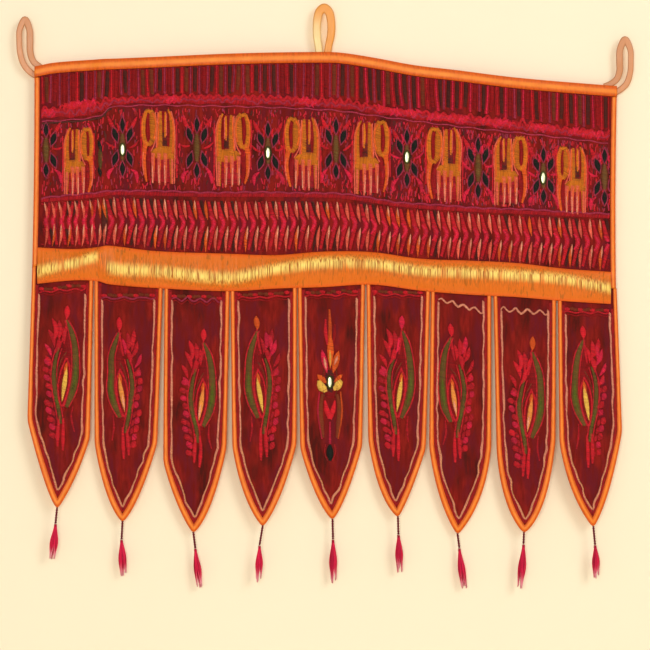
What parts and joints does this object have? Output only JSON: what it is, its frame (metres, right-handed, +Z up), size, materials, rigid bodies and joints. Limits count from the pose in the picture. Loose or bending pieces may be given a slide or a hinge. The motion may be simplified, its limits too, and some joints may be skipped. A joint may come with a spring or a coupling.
{
  "type": "toran door hanging",
  "caption": "Embroidered cotton valance hung over a doorway, with a bound header, a satin ribbon, pointed flags, tassels and hanging loops.",
  "frame": {"origin": "inside top of the centre loop, where a hook bears", "axes": "+X along the doorway to the viewer's right, +Y back towards the wall, +Z up; the embroidered face looks along -Y"},
  "size_m": [0.9885, 0.025, 0.9412],
  "materials": {
    "maroon_cotton": "matte plain weave with embroidery",
    "orange_satin": "satin",
    "gold_satin": "bright satin with a metallic thread",
    "loop_satin": "satin",
    "crimson_yarn": "silky yarn",
    "mirror_glass": "polished"
  },
  "bodies": {
    "root": {"header_cloth": "maroon_cotton", "header_binding_top": "orange_satin", "header_binding_left": "orange_satin", "header_binding_right": "orange_satin", "ribbon": "gold_satin", "flag_1": "maroon_cotton", "flag_binding_1": "orange_satin", "tassel_1": "crimson_yarn", "flag_2": "maroon_cotton", "flag_binding_2": "orange_satin", "tassel_2": "crimson_yarn", "flag_3": "maroon_cotton", "flag_binding_3": "orange_satin", "tassel_3": "crimson_yarn", "flag_4": "maroon_cotton", "flag_binding_4": "orange_satin", "tassel_4": "crimson_yarn", "flag_5": "maroon_cotton", "flag_binding_5": "orange_satin", "tassel_5": "crimson_yarn", "flag_6": "maroon_cotton", "flag_binding_6": "orange_satin", "tassel_6": "crimson_yarn", "flag_7": "maroon_cotton", "flag_binding_7": "orange_satin", "tassel_7": "crimson_yarn", "flag_8": "maroon_cotton", "flag_binding_8": "orange_satin", "tassel_8": "crimson_yarn", "flag_9": "maroon_cotton", "flag_binding_9": "orange_satin", "tassel_9": "crimson_yarn", "loop_left": "loop_satin", "loop_centre": "loop_satin", "loop_right": "loop_satin", "mirror_1": "mirror_glass", "mirror_2": "mirror_glass", "mirror_3": "mirror_glass", "mirror_4": "mirror_glass", "mirror_5": "mirror_glass"}
  },
  "joints": []
}
